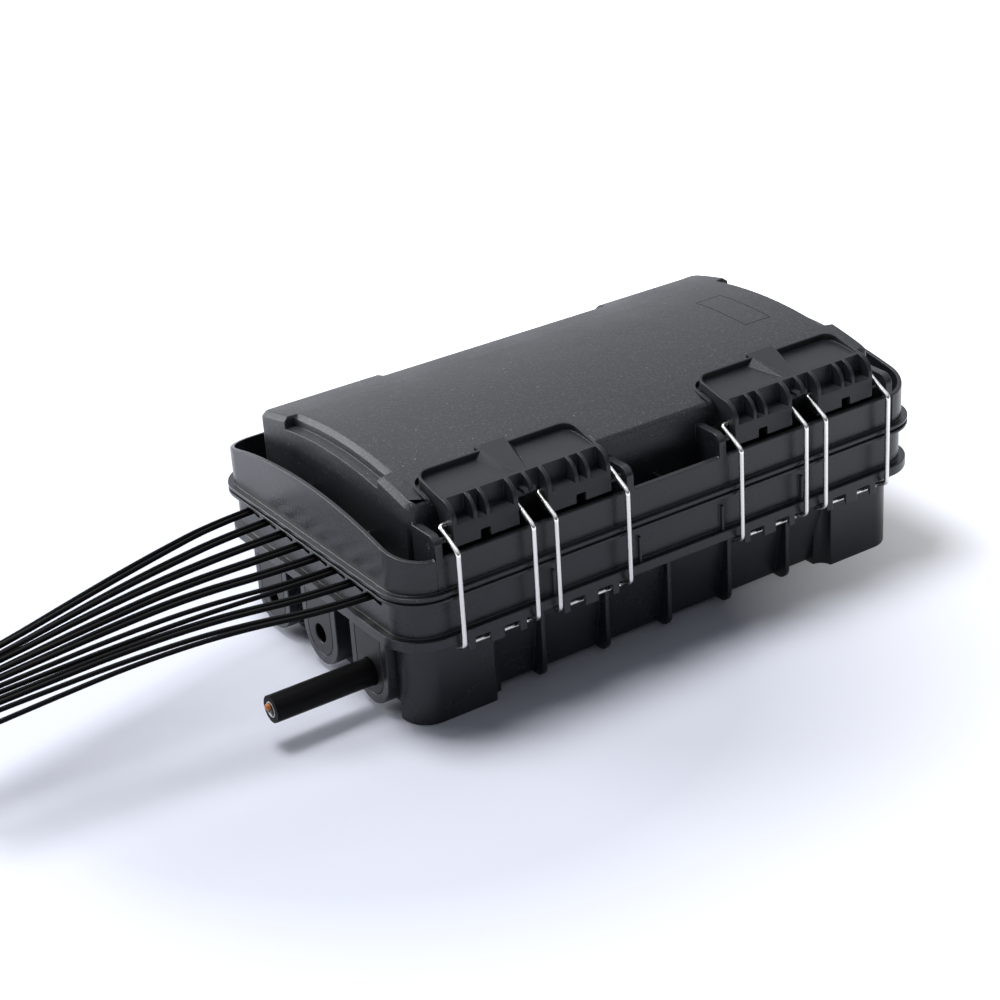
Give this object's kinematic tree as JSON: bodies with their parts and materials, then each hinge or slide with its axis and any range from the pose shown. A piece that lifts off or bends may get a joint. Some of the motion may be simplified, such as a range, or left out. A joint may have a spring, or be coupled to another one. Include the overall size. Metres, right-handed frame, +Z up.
{
  "type": "fibre distribution box",
  "caption": "Low black plastic cable box with a domed hinged lid, front toggle levers with wire bails, ports for trunk cables and a row of notches with drop cables.",
  "frame": {"origin": "centre of the box's outline on the plane of its feet", "axes": "+X along the length away from the cable end, -Y towards the latched front, +Z up through the lid"},
  "size_m": [0.4782, 0.1816, 0.1132],
  "materials": {
    "base_plastic": "moulded satin black",
    "lid_plastic": "moulded matte charcoal",
    "lever_plastic": "moulded satin black",
    "seal_rubber": "soft matte",
    "grommet_rubber": "soft matte",
    "fitting_plastic": "moulded",
    "fixing_steel": "plated",
    "pin_steel": "drawn",
    "wire_steel": "drawn stainless wire",
    "tray_plastic": "moulded",
    "cover_plastic": "clear",
    "sleeve_plastic": "translucent shrink tube",
    "module_plastic": "moulded",
    "trunk_jacket": "extruded",
    "drop_jacket": "extruded"
  },
  "bodies": {
    "base": {"base_tub": "base_plastic", "clamp_screw_1": "fixing_steel", "clamp_screw_2": "fixing_steel", "drop_01": "drop_jacket", "drop_02": "drop_jacket", "drop_03": "drop_jacket", "drop_04": "drop_jacket", "drop_05": "drop_jacket", "drop_06": "drop_jacket", "drop_07": "drop_jacket", "drop_08": "drop_jacket", "drop_09": "drop_jacket", "drop_10": "drop_jacket", "drop_11": "drop_jacket", "drop_12": "drop_jacket", "drop_13": "drop_jacket", "drop_14": "drop_jacket", "drop_15": "drop_jacket", "drop_16": "drop_jacket", "drop_seal_lower": "seal_rubber", "drop_tie_bar": "fitting_plastic", "grommet_1": "grommet_rubber", "grommet_2": "grommet_rubber", "grommet_3": "grommet_rubber", "hinge_pin_left": "pin_steel", "hinge_pin_right": "pin_steel", "sleeve_1": "sleeve_plastic", "sleeve_2": "sleeve_plastic", "sleeve_3": "sleeve_plastic", "sleeve_4": "sleeve_plastic", "sleeve_5": "sleeve_plastic", "sleeve_6": "sleeve_plastic", "splice_tray": "tray_plastic", "splitter_module": "module_plastic", "tray_cover": "cover_plastic", "tray_screw_1": "fixing_steel", "tray_screw_2": "fixing_steel", "trunk_cable": "trunk_jacket", "trunk_clamp_base": "fitting_plastic", "trunk_clamp_saddle": "fitting_plastic"},
    "lid": {"lid": "lid_plastic", "gasket": "seal_rubber", "drop_seal_upper": "seal_rubber", "lever_pin_left": "fitting_plastic", "lever_pin_right": "fitting_plastic"},
    "lever_left": {"lever_left": "lever_plastic"},
    "lever_right": {"lever_right": "lever_plastic"},
    "bail_1": {"bail_1": "wire_steel"},
    "bail_2": {"bail_2": "wire_steel"},
    "bail_3": {"bail_3": "wire_steel"},
    "bail_4": {"bail_4": "wire_steel"}
  },
  "joints": [
    {"name": "lid_hinge", "type": "hinge", "parent": "base", "child": "lid", "pos_m": [0, 0.0872, 0.0655], "axis": [-1, 0, 0], "range_deg": [0, 100]},
    {"name": "lever_left_pivot", "type": "hinge", "parent": "lid", "child": "lever_left", "pos_m": [-0.0775, -0.079, 0.091], "axis": [1, 0, 0], "range_deg": [0, 105]},
    {"name": "lever_right_pivot", "type": "hinge", "parent": "lid", "child": "lever_right", "pos_m": [0.0775, -0.079, 0.091], "axis": [1, 0, 0], "range_deg": [0, 105]},
    {"name": "bail_1_swing", "type": "hinge", "parent": "lever_left", "child": "bail_1", "pos_m": [-0.103, -0.076, 0.0962], "axis": [1, 0, 0], "range_deg": [-97, 0]},
    {"name": "bail_2_swing", "type": "hinge", "parent": "lever_left", "child": "bail_2", "pos_m": [-0.052, -0.076, 0.0962], "axis": [1, 0, 0], "range_deg": [-97, 0]},
    {"name": "bail_3_swing", "type": "hinge", "parent": "lever_right", "child": "bail_3", "pos_m": [0.052, -0.076, 0.0962], "axis": [1, 0, 0], "range_deg": [-97, 0]},
    {"name": "bail_4_swing", "type": "hinge", "parent": "lever_right", "child": "bail_4", "pos_m": [0.103, -0.076, 0.0962], "axis": [1, 0, 0], "range_deg": [-97, 0]}
  ],
  "couplings": [
    {"joint": "bail_1_swing", "follows": "lever_left_pivot", "ratio": -0.92},
    {"joint": "bail_2_swing", "follows": "lever_left_pivot", "ratio": -0.92},
    {"joint": "bail_3_swing", "follows": "lever_right_pivot", "ratio": -0.92},
    {"joint": "bail_4_swing", "follows": "lever_right_pivot", "ratio": -0.92}
  ]
}
